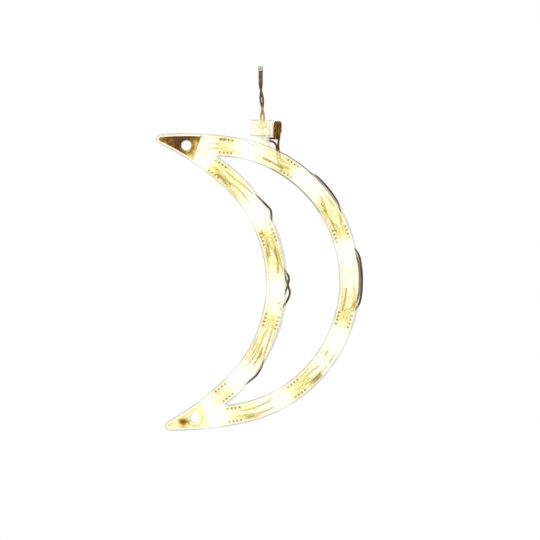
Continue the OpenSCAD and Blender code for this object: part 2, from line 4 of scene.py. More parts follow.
import bmesh
import bpy
from mathutils import Matrix, Vector
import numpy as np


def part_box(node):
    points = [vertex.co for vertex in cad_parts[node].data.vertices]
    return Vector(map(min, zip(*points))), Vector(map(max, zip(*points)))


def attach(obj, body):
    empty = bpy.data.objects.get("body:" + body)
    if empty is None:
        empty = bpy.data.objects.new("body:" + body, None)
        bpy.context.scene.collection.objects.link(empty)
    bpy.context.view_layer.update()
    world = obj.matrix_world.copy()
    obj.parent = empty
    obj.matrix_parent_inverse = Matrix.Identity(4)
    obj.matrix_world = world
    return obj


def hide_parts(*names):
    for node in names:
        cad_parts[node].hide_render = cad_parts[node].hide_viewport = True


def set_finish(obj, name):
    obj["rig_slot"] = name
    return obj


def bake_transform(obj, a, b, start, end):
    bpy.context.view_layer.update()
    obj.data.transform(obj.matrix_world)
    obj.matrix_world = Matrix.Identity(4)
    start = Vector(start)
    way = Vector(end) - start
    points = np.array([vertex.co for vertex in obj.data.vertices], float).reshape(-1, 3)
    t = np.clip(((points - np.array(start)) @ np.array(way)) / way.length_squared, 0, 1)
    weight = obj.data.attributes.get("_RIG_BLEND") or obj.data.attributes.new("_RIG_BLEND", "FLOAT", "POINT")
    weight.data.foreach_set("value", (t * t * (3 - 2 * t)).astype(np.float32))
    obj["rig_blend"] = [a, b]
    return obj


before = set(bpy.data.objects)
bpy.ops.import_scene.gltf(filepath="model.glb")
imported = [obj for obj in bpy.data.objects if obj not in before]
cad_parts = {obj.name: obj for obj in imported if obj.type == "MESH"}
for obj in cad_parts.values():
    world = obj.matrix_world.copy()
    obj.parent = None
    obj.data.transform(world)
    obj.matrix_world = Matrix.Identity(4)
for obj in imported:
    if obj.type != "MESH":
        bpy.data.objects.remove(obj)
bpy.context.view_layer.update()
scene = bpy.context.scene
print("frame loaded:", len(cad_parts), "nodes")

# small helpers, all in millimetres until a piece is finished
perMetre = 1000
sharpAngle = 38  # edges that turn by more degrees than this stay crisp
roundSteps = 32  # faces round a turned piece


def polar(radius, degrees):
    return Vector((radius * cos(radians(degrees)), radius * sin(radians(degrees)), 0))


def moved(x, y, z):
    return Matrix.Translation((x, y, z))


def turned(degrees, axis):
    return Matrix.Rotation(radians(degrees), 4, axis)


def sized(x, y, z):
    return Matrix.Diagonal((x, y, z, 1))


def meshData(mesh, name):
    data = bpy.data.meshes.new(name)
    mesh.to_mesh(data)
    mesh.free()
    return data


def newObject(name, data):
    made = bpy.data.objects.new(name, data)
    scene.collection.objects.link(made)
    return made


def finishPiece(mesh, name, material, body, slot, replaces, place=Matrix.Identity(4)):
    bmesh.ops.transform(mesh, matrix=Matrix.Scale(1 / perMetre, 4) @ place, verts=mesh.verts)
    bmesh.ops.recalc_face_normals(mesh, faces=mesh.faces)
    data = meshData(mesh, name)
    data.shade_smooth()
    data.set_sharp_from_angle(angle=radians(sharpAngle))
    piece = newObject(name, data)
    for one in material if isinstance(material, list) else [material]:
        data.materials.append(one)
    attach(piece, body)
    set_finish(piece, slot)
    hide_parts(*replaces)
    return piece


def edgesOf(verts):
    return list({edge for vert in verts for edge in vert.link_edges})


def ofKind(kind, parts):
    return [part for part in parts if isinstance(part, kind)]


def closedLoop(mesh, level, start, arcs):
    # a chain of arcs from one point and back to it: (centre, degrees, steps)
    up = Vector((0, 0, level))
    first = last = mesh.verts.new(start + up)
    for centre, degrees, steps in arcs:
        made = bmesh.ops.spin(mesh, geom=[last], cent=centre + up, axis=(0, 0, 1),
                              angle=radians(degrees), steps=steps)
        last = ofKind(bmesh.types.BMVert, made["geom_last"])[0]
    bmesh.ops.remove_doubles(mesh, verts=[first, last], dist=0.01)


def rimMesh():
    # its vertices say how much of the dark edge line they carry
    mesh = bmesh.new()
    mesh.verts.layers.float.new("rim")
    return mesh


def gather(mesh, draw, rows):
    # each row is drawn in a small mesh of its own, which is far quicker, and then joins the large one
    spans = []
    for row in rows:
        small = rimMesh()
        draw(small, *row)
        data = meshData(small, "part")
        spans.append((len(mesh.verts), len(data.vertices), len(mesh.edges), len(data.edges)))
        mesh.from_mesh(data)
        bpy.data.meshes.remove(data)
    mesh.verts.ensure_lookup_table()
    mesh.edges.ensure_lookup_table()
    return [(mesh.verts[v:v + vCount], mesh.edges[e:e + eCount]) for v, vCount, e, eCount in spans]


def circleLoop(mesh, radius, level, centre, segments=24, turn=0):
    place = moved(centre[0], centre[1], level) @ turned(turn, "Z")
    verts = bmesh.ops.create_circle(mesh, segments=segments, radius=radius, matrix=place)["verts"]
    return verts, edgesOf(verts)


def squareLoop(mesh, width, depth, corner, level, centre):
    # a rectangle with rounded corners
    place = moved(centre[0], centre[1], level) @ sized(width, depth, 1) @ turned(45, "Z")
    made = bmesh.ops.create_circle(mesh, segments=4, radius=sqrt(0.5), matrix=place)
    rounded = bmesh.ops.bevel(mesh, geom=made["verts"], offset=corner, segments=5,
                              affect="VERTICES", profile=0.5, material=-1)
    verts = list(set(rounded["verts"]))
    return verts, edgesOf(verts)


def bevelledBlock(mesh, place, edge):
    block = bmesh.ops.create_cube(mesh, size=1, matrix=place)["verts"]
    bmesh.ops.bevel(mesh, geom=edgesOf(block), offset=edge, segments=2, affect="EDGES", profile=0.5, material=-1)


def sliced(mesh, point, normal, clearOuter=False):
    made = bmesh.ops.bisect_plane(mesh, geom=mesh.verts[:] + mesh.edges[:] + mesh.faces[:], plane_co=point,
                                  plane_no=normal, clear_outer=clearOuter, dist=0.0001)
    return ofKind(bmesh.types.BMEdge, made["geom_cut"])


def loft(mesh, loops, closed=False):
    pairs = list(zip(loops, loops[1:])) + ([(loops[-1], loops[0])] if closed else [])
    for one, other in pairs:
        bmesh.ops.bridge_loops(mesh, edges=list(one[1]) + list(other[1]))


def spinProfile(mesh, points, axisPlace=Matrix.Identity(4)):
    # a solid of revolution: points are (radius, height) up the axis of axisPlace
    verts = [mesh.verts.new((radius, 0, height)) for radius, height in points]
    edges = [mesh.edges.new(pair) for pair in zip(verts, verts[1:])]
    bmesh.ops.spin(mesh, geom=verts + edges, cent=(0, 0, 0), axis=(0, 0, 1),
                   angle=tau, steps=roundSteps, use_merge=True)
    bmesh.ops.remove_doubles(mesh, verts=mesh.verts, dist=0.0005)
    bmesh.ops.transform(mesh, matrix=axisPlace, verts=mesh.verts)


def smoothPath(points, step):
    # a smooth line whose first and last stretches stay straight
    points = [Vector(point) for point in points]
    path = [points[0]]
    for i in range(1, len(points) - 2):
        a, b = points[i], points[i + 1]
        slopeA, slopeB = (b - points[i - 1]) / 2, (points[i + 2] - a) / 2
        count = max(1, round((b - a).length / step))
        for k in range(count):
            t = k / count
            path.append((2 * t**3 - 3 * t**2 + 1) * a + (t**3 - 2 * t**2 + t) * slopeA
                        + (3 * t**2 - 2 * t**3) * b + (t**3 - t**2) * slopeB)
    return path + points[-2:]


def pathLength(path):
    return sum((b - a).length for a, b in zip(path, path[1:]))


def layWire(name, path, diameter, material, slot, sides=4):
    # a round wire along a path, as a curve with a bevel
    curve = bpy.data.curves.new(name, "CURVE")
    curve.dimensions = "3D"
    curve.bevel_depth = diameter / 2 / perMetre
    curve.bevel_resolution = sides
    curve.use_fill_caps = True
    spline = curve.splines.new("POLY")
    spline.points.add(len(path) - 1)
    for point, place in zip(spline.points, path):
        point.co = (*(place / perMetre), 1)
    spline.use_smooth = True
    wire = newObject(name, curve)
    curve.materials.append(material)
    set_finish(wire, slot)
    return wire


def asMesh(wire):
    # for a wire that bends with a joint
    name, slot = wire.name, wire["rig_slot"]
    data = bpy.data.meshes.new_from_object(wire.evaluated_get(bpy.context.evaluated_depsgraph_get()))
    bpy.data.objects.remove(wire)
    piece = newObject(name, data)
    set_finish(piece, slot)
    return piece


# camera, at the photograph's angle
cameraSetup = {"azimuth": 6, "distance": 1.6, "target": (0.00525, 0, -0.11256), "frameWidth": 0.3016,
               "sensorWidth": 36}

azimuth = radians(cameraSetup["azimuth"])
towards = Vector((sin(azimuth), -cos(azimuth), 0))
cameraData = bpy.data.cameras.new("photoCamera")
cameraData.sensor_width = cameraSetup["sensorWidth"]
cameraData.lens = cameraSetup["sensorWidth"] * cameraSetup["distance"] / cameraSetup["frameWidth"]
cameraObject = newObject("photoCamera", cameraData)
cameraObject.location = Vector(cameraSetup["target"]) + cameraSetup["distance"] * towards
cameraObject.rotation_euler = (radians(90), 0, azimuth)
scene.camera = cameraObject
print("camera set")

# the crescent's own sizes, from the CAD source, in millimetres
crescent = {
    "outerRadius": 81, "innerRadius": 84, "centreGap": 44, "legWidth": 11.4, "depth": 10,
    "wall": 1.5, "face": 1.2, "tilt": 1.8, "corner": (3.13, 69.53), "cornerRadius": 0.4,
    "tipRadius": 2.8, "tipCentre": (-27.892, 80.198), "outerFlare": 78.019, "innerFlare": 46.966,
    "eyeletIn": 14.8, "eyeletLean": 16, "partitionIn": 12.7, "partitionLean": 21, "fluteHeight": 0.4,
    "capX": 1, "capWidth": 12.3, "capTop": -28.5, "capUnder": -30.1, "capBottom": -37.7, "neckFoot": -42,
    "neckTop": -33.25, "neckAngle": 69.298, "crimpTop": -30.15, "crimpBottom": -33.05,
}
capX, outerRadius = crescent["capX"], crescent["outerRadius"]
half = crescent["depth"] / 2
floorLevel = half - crescent["face"]  # the channel's floor, which is the back of its front face
tilt = radians(crescent["tilt"])
midRadius = [crescent[name] - crescent["legWidth"] / 2 for name in ("outerRadius", "innerRadius")]
legCentre = [Vector((0, 0, 0)), Vector((-crescent["centreGap"], 0, 0))]
neckDirection = radians(crescent["neckAngle"]) + tilt
outerCentre = Vector((capX - outerRadius * cos(neckDirection), 0,
                      crescent["neckFoot"] - outerRadius * sin(neckDirection)))
innerCentre = outerCentre - crescent["centreGap"] * Vector((cos(tilt), 0, sin(tilt)))
# the crescent's plane: x along its axis of symmetry, y up, z to the front
crescentPlace = moved(*outerCentre) @ Matrix.Rotation(-tilt, 4, "Y") @ turned(90, "X")


# nodes for the materials
def connect(tree, node, inputs):
    # links a socket, or sets a plain value
    for name, value in inputs.items():
        socket = node.inputs[name]
        if isinstance(value, bpy.types.NodeSocket):
            tree.links.new(value, socket)
        else:
            socket.default_value = (*value, 1) if socket.type == "RGBA" else value


def addNode(tree, kind, inputs=None, **settings):
    node = tree.nodes.new(kind)
    for name, value in settings.items():
        setattr(node, name, value)
    connect(tree, node, inputs or {})
    return node


def newMaterial(name):
    material = bpy.data.materials.new(name)
    material.use_nodes = True
    tree = material.node_tree
    tree.nodes.clear()
    shader = addNode(tree, "ShaderNodeBsdfPrincipled")
    addNode(tree, "ShaderNodeOutputMaterial", {"Surface": shader.outputs["BSDF"]})
    return material, tree, shader


def objectPoint(tree):
    return addNode(tree, "ShaderNodeTexCoord").outputs["Object"]


def separated(tree, vector):
    return addNode(tree, "ShaderNodeSeparateXYZ", {0: vector}).outputs


def noiseAt(tree, vector, scale, detail=3, roughness=0.55):
    return addNode(tree, "ShaderNodeTexNoise", {
        "Vector": vector, "Scale": scale, "Detail": detail, "Roughness": roughness}).outputs[0]


def maths(tree, operation, a, b=0, **settings):
    return addNode(tree, "ShaderNodeMath", {0: a, 1: b}, operation=operation, **settings).outputs[0]


def added(tree, first, *others):
    for other in others:
        first = maths(tree, "ADD", first, other)
    return first


def less(tree, a, b):
    return maths(tree, "SUBTRACT", a, b)


def times(tree, a, b):
    return maths(tree, "MULTIPLY", a, b)


def vectorMaths(tree, operation, a, b):
    return addNode(tree, "ShaderNodeVectorMath", {0: a, 1: b}, operation=operation).outputs["Vector"]


def lengthOf(tree, vector):
    return addNode(tree, "ShaderNodeVectorMath", {0: vector}, operation="LENGTH").outputs["Value"]


def mapRange(tree, value, fromMin=0, fromMax=1, toMin=0, toMax=1, kind="LINEAR"):
    return addNode(tree, "ShaderNodeMapRange", {
        "Value": value, "From Min": fromMin, "From Max": fromMax, "To Min": toMin, "To Max": toMax},
        interpolation_type=kind).outputs[0]


def rampColour(tree, factor, stops, interpolation="LINEAR"):
    node = addNode(tree, "ShaderNodeValToRGB", {"Fac": factor})
    ramp = node.color_ramp
    ramp.interpolation = interpolation
    while len(ramp.elements) < len(stops):
        ramp.elements.new(0.5)
    for element, (place, colour) in zip(ramp.elements, stops):
        element.position = place
        element.color = (*colour, 1)
    return node.outputs["Color"]


def rampValue(tree, factor, stops, interpolation="LINEAR"):
    greys = [(place, (level,) * 3) for place, level in stops]
    return addNode(tree, "ShaderNodeRGBToBW", {0: rampColour(tree, factor, greys, interpolation)}).outputs[0]


def mixColour(tree, factor, a, b):
    return addNode(tree, "ShaderNodeMix", {0: factor, 6: a, 7: b}, data_type="RGBA").outputs[2]


def mixValue(tree, factor, a, b):
    return addNode(tree, "ShaderNodeMix", {0: factor, 2: a, 3: b}, data_type="FLOAT").outputs[0]


def bumped(tree, height, strength, distance):
    return addNode(tree, "ShaderNodeBump", {
        "Height": height, "Strength": strength, "Distance": distance}).outputs[0]


# painted light, where the lamps flood the plastic with it, and painted shade, where it stays golden brown:
# (from, to, strength) in degrees about each leg's centre, outer leg first
lampLight = {
    "glow": [[(-97, -88.5, 1), (-66, -59.5, 1), (-41, -38.8, 0.8), (-33, -23.5, 1), (4.5, 14.5, 1), (37.5, 51, 1),
              (69, 77.5, 1), (88.5, 100, 0.6)],
             [(-66, -57.5, 0.9), (-49, -38.5, 1), (-8.5, -0.5, 1), (23.5, 34.5, 1), (57.5, 67, 0.95)]],
    "shade": [[(-81, -73.5, 0.8), (-58, -43, 1), (-21, -4, 0.85), (17, 36, 1), (53, 67, 0.9), (80, 88, 0.7)],
              [(-56, -51.5, 0.75), (-35, -14, 0.8), (3, 21, 1), (38, 55, 1)]],
    # dark lines for the wires and joints that show through, with their painted shadows: (offset across the leg,
    # width, bands)
    "strokes": [[(-2, 1.2, [(-15, -5, 0.5), (20.5, 26, 1), (31, 35.5, 1), (57, 66.5, 1), (78, 81.5, 0.9)]),
                 (3.4, 1.8, [(-81, -74, 0.4), (-50, -42.5, 0.5), (-13, -2, 0.4), (82, 90, 0.45)])],
                [(-2.6, 2, [(-36, -27, 0.5), (10, 21, 0.5), (44, 51, 0.6)]),
                 (1.5, 1.1, [(-61, -59, 0.8), (-35, -28.5, 1), (3, 13, 0.8)])]],
    # the outer leg's edge, where a wire runs along it
    "edgeWire": [[(31, 62, 1)], [(31, 62, 0)]],
    # how far each band fades, in degrees, and how far the glow's edges wander, in radians
    "soft": 3.2, "strokeSoft": 0.7, "edgeSoft": 1, "reach": 110, "waver": 0.16, "waverScale": 230,
}
plasticIndex = 1.49  # refraction of clear plastic


def bandRamp(tree, angle, bands, soft):
    reach = lampLight["reach"]
    place = mapRange(tree, angle, -radians(reach), radians(reach))
    stops = []
    for low, high, strength in bands:
        for degrees, level in ((low - soft, 0), (low + soft, strength), (high - soft, strength), (high + soft, 0)):
            stops.append(((degrees + reach) / 2 / reach, level))
    return rampValue(tree, place, stops, "EASE")


def legCoordinates(tree, withStrokes=False):
    # for the leg that a point is on: millimetres across and along it, and the strength of each band
    point = objectPoint(tree)
    noise = noiseAt(tree, point, lampLight["waverScale"], 2)
    waver = times(tree, less(tree, noise, 0.5), lampLight["waver"])
    radii, legs = [], []
    for leg, centre in enumerate((outerCentre, innerCentre)):
        local = vectorMaths(tree, "SUBTRACT", point, centre / perMetre)
        flat = vectorMaths(tree, "MULTIPLY", local, (perMetre, 0, perMetre))
        radius = lengthOf(tree, flat)
        parts = separated(tree, flat)
        angle = less(tree, maths(tree, "ARCTAN2", parts["Z"], parts["X"]), tilt)
        wavering = added(tree, angle, waver)
        across = less(tree, radius, midRadius[leg])
        strokes = 0
        for offset, width, bands in lampLight["strokes"][leg] if withStrokes else ():
            apart = maths(tree, "ABSOLUTE", less(tree, across, offset))
            line = mapRange(tree, apart, 0, width, 1, 0, "SMOOTHSTEP")
            broken = bandRamp(tree, wavering, bands, lampLight["strokeSoft"])
            strokes = added(tree, strokes, times(tree, line, broken))
        radii.append(radius)
        legs.append({
            "across": across, "along": times(tree, angle, midRadius[leg]),
            "glow": bandRamp(tree, wavering, lampLight["glow"][leg], lampLight["soft"]),
            "shade": bandRamp(tree, wavering, lampLight["shade"][leg], lampLight["soft"]), "strokes": strokes,
            "edgeWire": bandRamp(tree, angle, lampLight["edgeWire"][leg], lampLight["edgeSoft"])})
    onInner = maths(tree, "LESS_THAN", radii[0], outerRadius - crescent["legWidth"])
    found = {name: mixValue(tree, onInner, legs[0][name], legs[1][name]) for name in legs[0]}
    found["point"] = point
    return found


# the channel's plastic: tones and alphas from its darkest to its brightest, picked by its streaks and by the
# painted shade; the lit colour is the painted lamp light
clearPlastic = {
    "tones": [(0.24, (0.36, 0.25, 0.04)), (0.36, (0.72, 0.58, 0.1)), (0.47, (0.9, 0.83, 0.3)),
              (0.62, (0.98, 0.95, 0.62))],
    "alphas": [(0.28, 0.9), (0.6, 0.5)], "lit": (0.92, 0.91, 0.8), "litAlpha": 0.97, "emission": 0.03,
    "lift": 0.1, "shadeDepth": 0.15, "strokeDepth": (0.36, 0.62, 0.5, 0.14), "roughness": 0.3,
    "streakWidth": 1.25, "streakLength": 13, "streakShare": 0.6, "patchStretch": (0.34, 1.5, 1),
    "bump": (0.1, 0.0002),
}


def streakTone(tree, leg):
    # moulding streaks that run along a leg, with wider cloudy patches
    place = addNode(tree, "ShaderNodeCombineXYZ", {
        0: maths(tree, "DIVIDE", leg["across"], clearPlastic["streakWidth"]),
        1: maths(tree, "DIVIDE", leg["along"], clearPlastic["streakLength"])}).outputs[0]
    streak = noiseAt(tree, place, 1, 3, 0.5)
    patch = noiseAt(tree, vectorMaths(tree, "MULTIPLY", place, clearPlastic["patchStretch"]), 1, 2)
    share = clearPlastic["streakShare"]
    return added(tree, times(tree, streak, share), times(tree, patch, 1 - share))


def makeChannelPlastic(name, tintShift=0, alphaShift=0):
    material, tree, shader = newMaterial(name)
    leg = legCoordinates(tree, True)
    streaks = streakTone(tree, leg)
    strokeDepth = mapRange(tree, streaks, *clearPlastic["strokeDepth"])
    # painted shade: darker under the shade bands, and along the strokes, the wires and joints that show through
    # with their painted shadows
    darker = added(tree, times(tree, leg["shade"], clearPlastic["shadeDepth"]),
                   times(tree, leg["strokes"], strokeDepth))
    tone = added(tree, streaks, less(tree, clearPlastic["lift"] - tintShift, darker))
    # painted light: under the glow bands the plastic takes its lit colour and alpha and glows a little, as the
    # lamps' light
    colour = mixColour(tree, leg["glow"], rampColour(tree, tone, clearPlastic["tones"]), clearPlastic["lit"])
    alpha = mixValue(tree, leg["glow"], rampValue(tree, tone, clearPlastic["alphas"]), clearPlastic["litAlpha"])
    connect(tree, shader, {
        "Base Color": colour, "Alpha": maths(tree, "ADD", alpha, alphaShift, use_clamp=True),
        "Emission Color": colour, "Emission Strength": times(tree, leg["glow"], clearPlastic["emission"]),
        "Normal": bumped(tree, streaks, *clearPlastic["bump"]), "Roughness": clearPlastic["roughness"],
        "IOR": plasticIndex})
    return material


skinPlastic = {
    "clear": (1, 0.98, 0.84), "clearAlpha": 0.006, "edge": (0.27, 0.19, 0.05), "edgeAlpha": 0.5, "litEdge": 0.2,
    "wireEdge": (0.13, 0.085, 0.02), "wireAlpha": 0.95, "emission": 0, "roughness": 0.12,
    "flowScale": 330, "flowFade": (0.3, 0.6, 0.8, 1), "bump": (0.06, 0.0002),
}


def makeSkinPlastic(name, **changes):
    # the polished outside, which only shows as a thin line along its edges
    skin = {**skinPlastic, **changes}
    material, tree, shader = newMaterial(name)
    leg = legCoordinates(tree)
    rim = addNode(tree, "ShaderNodeAttribute", attribute_name="rim").outputs["Fac"]
    flow = noiseAt(tree, leg["point"], skin["flowScale"], 2)
    lit = times(tree, leg["glow"], less(tree, 1, leg["edgeWire"]))
    line = mixValue(tree, lit, skin["edgeAlpha"], skin["litEdge"])
    line = mixValue(tree, leg["edgeWire"], line, skin["wireAlpha"])
    line = times(tree, line, mapRange(tree, flow, *skin["flowFade"]))
    edge = mixColour(tree, leg["edgeWire"], skin["edge"], skin["wireEdge"])
    connect(tree, shader, {
        "Base Color": mixColour(tree, rim, skin["clear"], edge),
        "Alpha": mixValue(tree, rim, skin["clearAlpha"], line),
        "Normal": bumped(tree, flow, *skin["bump"]), "Roughness": skin["roughness"], "IOR": plasticIndex,
        "Emission Color": skin["clear"]})
    # painted light: the clear part glows a little, as the lamps' light in the piece
    if skin["emission"]:
        connect(tree, shader, {"Emission Strength": mixValue(tree, rim, skin["emission"], 0)})
    return material


# the closed ends behind the partitions, which the lamps don't reach, in painted shade; places are in metres
tipPlastic = {
    "tones": [(0.2, (0.075, 0.028, 0)), (0.36, (0.26, 0.13, 0.004)), (0.54, (0.66, 0.51, 0.15)),
              (0.72, (0.92, 0.84, 0.46))],
    "surface": {"Alpha": 0.995, "Roughness": 0.5, "Specular IOR Level": 0.15},
    "cloudScale": 380, "cloudShare": 0.6, "lift": 0.1,
    "edgeFade": (-4, 6, 0, 0.3),  # painted shade, darkest along the outer edge, in millimetres across
    "middle": -0.0445, "endFade": (0, 0.012, 0, 0.3),  # paler towards the lamps, where their light is painted, and towards the point
    "lowFade": (-0.1, -0.15, 0, 0.46),  # the lower tip is paler, with one brown spot
    "spot": (-0.0424, 0, -0.1972), "spotShape": (1, 0, 1.8), "spotFade": (0.0046, 0.0004, 0, 0.42),
}


def makeTipPlastic():
    material, tree, shader = newMaterial("tipPlastic")
    leg = legCoordinates(tree)
    cloud = noiseAt(tree, leg["point"], tipPlastic["cloudScale"])
    place = separated(tree, leg["point"])
    fromEdge = mapRange(tree, leg["across"], *tipPlastic["edgeFade"])
    fromMiddle = maths(tree, "ABSOLUTE", less(tree, place["X"], tipPlastic["middle"]))
    toLamps = mapRange(tree, fromMiddle, *tipPlastic["endFade"])
    lowTip = mapRange(tree, place["Z"], *tipPlastic["lowFade"])
    fromSpot = vectorMaths(tree, "SUBTRACT", leg["point"], tipPlastic["spot"])
    fromSpot = vectorMaths(tree, "MULTIPLY", fromSpot, tipPlastic["spotShape"])
    spot = mapRange(tree, lengthOf(tree, fromSpot), *tipPlastic["spotFade"])
    paler = added(tree, times(tree, cloud, tipPlastic["cloudShare"]), toLamps, lowTip)
    tone = added(tree, less(tree, paler, added(tree, fromEdge, spot)), tipPlastic["lift"])
    connect(tree, shader, {"Base Color": rampColour(tree, tone, tipPlastic["tones"]), **tipPlastic["surface"]})
    return material


# moulded plastics with faint cloudiness and flow marks
plainFinish = {"low": 0.35, "high": 0.62, "detail": 4, "bump": (0.15, 0.0001)}
plainPlastics = {
    # darkest and lightest tone, alpha, roughness, scale of the clouds, emission (the lens's is its lamp, the
    # sleeve's is painted light from it)
    "crimpPlastic": ((0.8, 0.66, 0.18), (0.96, 0.9, 0.45), 0.92, 0.4, 320, 0),
    "sleevePlastic": ((0.92, 0.84, 0.58), (1, 0.97, 0.82), 0.4, 0.22, 700, 0.15),
    "lensPlastic": ((1, 0.9, 0.58), (1, 0.97, 0.78), 0.9, 0.06, 500, 1.1),
    "topPlastic": ((0.3, 0.25, 0.22), (0.52, 0.46, 0.42), 1, 0.5, 900, 0),
    "tiePlastic": ((0.05, 0.02, 0.003), (0.17, 0.075, 0.012), 1, 0.9, 900, 0),
}


def makePlainPlastic(name):
    low, high, alpha, roughness, scale, emission = plainPlastics[name]
    material, tree, shader = newMaterial(name)
    cloud = noiseAt(tree, objectPoint(tree), scale, plainFinish["detail"])
    tone = rampColour(tree, cloud, [(plainFinish["low"], low), (plainFinish["high"], high)])
    connect(tree, shader, {
        "Base Color": tone, "Alpha": alpha, "Roughness": roughness, "IOR": plasticIndex,
        "Normal": bumped(tree, cloud, *plainFinish["bump"])})
    if emission:
        connect(tree, shader, {"Emission Color": tone, "Emission Strength": emission})
    return material


# brown insulation with the strands showing through as fine lines: its darkest and lightest tone
wirePlastics = {
    "cordWire": ((0.07, 0.032, 0.014), (0.22, 0.12, 0.065)),
    "coilWire": ((0.05, 0.014, 0), (0.25, 0.1, 0.008)),
    "spanWire": ((0.035, 0.022, 0.002), (0.15, 0.1, 0.015)),
}
wireFinish = {
    "strandScale": 2600, "strandShare": 0.45, "patchScale": 240, "dark": 0.36, "light": 0.64,
    "surface": {"Roughness": 0.7, "Specular IOR Level": 0.1}, "bump": (0.2, 0.00005),
    "lowFade": (-0.0195, -0.0275, 0, 0.75), "lowColour": (0.6, 0.5, 0.2),
}


def makeWirePlastic(name):
    dark, light = wirePlastics[name]
    material, tree, shader = newMaterial(name)
    point = objectPoint(tree)
    strands = noiseAt(tree, point, wireFinish["strandScale"], 2)
    patches = noiseAt(tree, point, wireFinish["patchScale"], 2)
    tone = added(tree, times(tree, strands, wireFinish["strandShare"]),
                 times(tree, patches, 1 - wireFinish["strandShare"]))
    colour = rampColour(tree, tone, [(wireFinish["dark"], dark), (wireFinish["light"], light)])
    if name == "cordWire":  # the lower end is paler, where the lamps shine up it
        paler = mapRange(tree, separated(tree, point)["Z"], *wireFinish["lowFade"])
        colour = mixColour(tree, paler, colour, wireFinish["lowColour"])
    connect(tree, shader, {
        "Base Color": colour, "Normal": bumped(tree, strands, *wireFinish["bump"]), **wireFinish["surface"]})
    return material


leadFinish = {"stretch": (900, 2600, 900), "tones": [(0.3, (0.45, 0.43, 0.4)), (0.7, (0.8, 0.78, 0.74))],
              "roughness": (0, 1, 0.22, 0.45)}


def makeLeadMetal():
    material, tree, shader = newMaterial("leadMetal")
    scratches = noiseAt(tree, vectorMaths(tree, "MULTIPLY", objectPoint(tree), leadFinish["stretch"]), 1)
    connect(tree, shader, {
        "Base Color": rampColour(tree, scratches, leadFinish["tones"]), "Metallic": 1,
        "Roughness": mapRange(tree, scratches, *leadFinish["roughness"])})
    return material


channelPlastic = makeChannelPlastic("channelPlastic")
ribPlastic = makeChannelPlastic("ribPlastic", tintShift=0.36, alphaShift=0.3)
flutePlastic = makeSkinPlastic("flutePlastic", clearAlpha=0.12)
outerSkin = makeSkinPlastic("outerSkin")
tipMaterial = makeTipPlastic()
# the cap and the neck glow a little: painted light from the lamps
capPlastic = makeSkinPlastic("capPlastic", clearAlpha=0.22, litEdge=0.5, emission=0.16,
                             clear=(0.98, 0.97, 0.68), edge=(0.34, 0.33, 0.17))
neckPlastic = makeSkinPlastic("neckPlastic", clearAlpha=0.46, edgeAlpha=0.46, litEdge=0.46, emission=0.1,
                              clear=(0.99, 0.98, 0.82), edge=(0.72, 0.71, 0.48))
crimpPlastic, sleevePlastic, lensPlastic, topPlastic, tiePlastic = map(makePlainPlastic, plainPlastics)
cordWire, coilWire, spanWire = map(makeWirePlastic, wirePlastics)
leadMetal = makeLeadMetal()
print("materials made")

# the twisted drop cord, in millimetres from the hanging point
cord = {
    "diameter": 1.2, "top": 1.1, "bottom": -31.8, "steps": 48, "lay": 20.1, "twistStart": -7,
    "leanTop": -8, "leanBottom": -24,
    # how far each wire is from the middle, where the pair swells, and how it opens towards its foot
    "pairRadius": 0.62, "swell": 0.14, "swellHeight": -18, "swellReach": 6,
    "foot": 0.3, "footTop": -22, "footReach": 6,
}
wireRadius = cord["diameter"] / 2


def eased(share):
    share = min(1, max(0, share))
    return share * share * (3 - 2 * share)


def cordPoint(side, z):
    lean = capX * eased((cord["leanTop"] - z) / (cord["leanTop"] - cord["leanBottom"]))
    swell = cord["swell"] * eased(1 - abs(z - cord["swellHeight"]) / cord["swellReach"])
    foot = cord["foot"] * eased((cord["footTop"] - z) / cord["footReach"])
    apart = side * (cord["pairRadius"] + swell + foot)
    turn = max(0, cord["twistStart"] - z) * tau / cord["lay"]
    return Vector((lean + apart * cos(turn), apart * sin(turn), z))


for side, letter in ((1, "A"), (-1, "B")):
    path = [cordPoint(side, cord["top"] + (cord["bottom"] - cord["top"]) * k / cord["steps"])
            for k in range(cord["steps"] + 1)]
    wire = asMesh(layWire("dropCord" + letter, path, cord["diameter"], cordWire, "cord_wire"))
    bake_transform(wire, "hanger", "drop_cord", start=(0, 0, 0), end=(0, 0, -0.0075))
    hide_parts("cord_wire_" + letter.lower())

# the slack coil beside the cap, and the wire that goes straight in; places are from the cap's bottom
slack = {
    "radius": 4.7, "pitch": 1.22, "firstAngle": 14, "lastAngle": 890, "lower": 0.3, "sideY": 0.2, "steps": 36,
    "gap": 0.1, "inCrimp": 0.6, "belowCrimp": 0.7, "leadStep": 0.6, "tailStep": 0.8,
    "lead": [(0.4, 0.6, 1.9), (0.4, 1.1, 0.6), (0.9, 1.3, -0.6), (2.1, 1.3, -1.25), (4.3, 1.3, -1.3),
             (5.7, 1.1, -1.3)],
    "tail": [(9.95, 2.9, 7.2), (9.6, 5.5, 5), (9.1, 6.5, 2.2), (8.7, 6.6, -0.8), (8.3, 6.2, -3.8), (8.5, 5.9, -7),
             (9.2, 5.8, -10.6), (10.1, 4.8, -14)],
    "returnLead": [(-0.5, -0.6, 1.4), (-0.4, -0.9, -0.4), (0.6, -0.9, -2.2), (2.2, -0.9, -2.9), (4.3, -0.9, -2.9),
                   (5.8, 0.3, -3.2), (6.8, 2.8, -4), (7.3, 5.4, -5.2), (7.4, 5.9, -7.6), (7.8, 5.9, -10.8),
                   (8.4, 5.1, -14.2)],
}
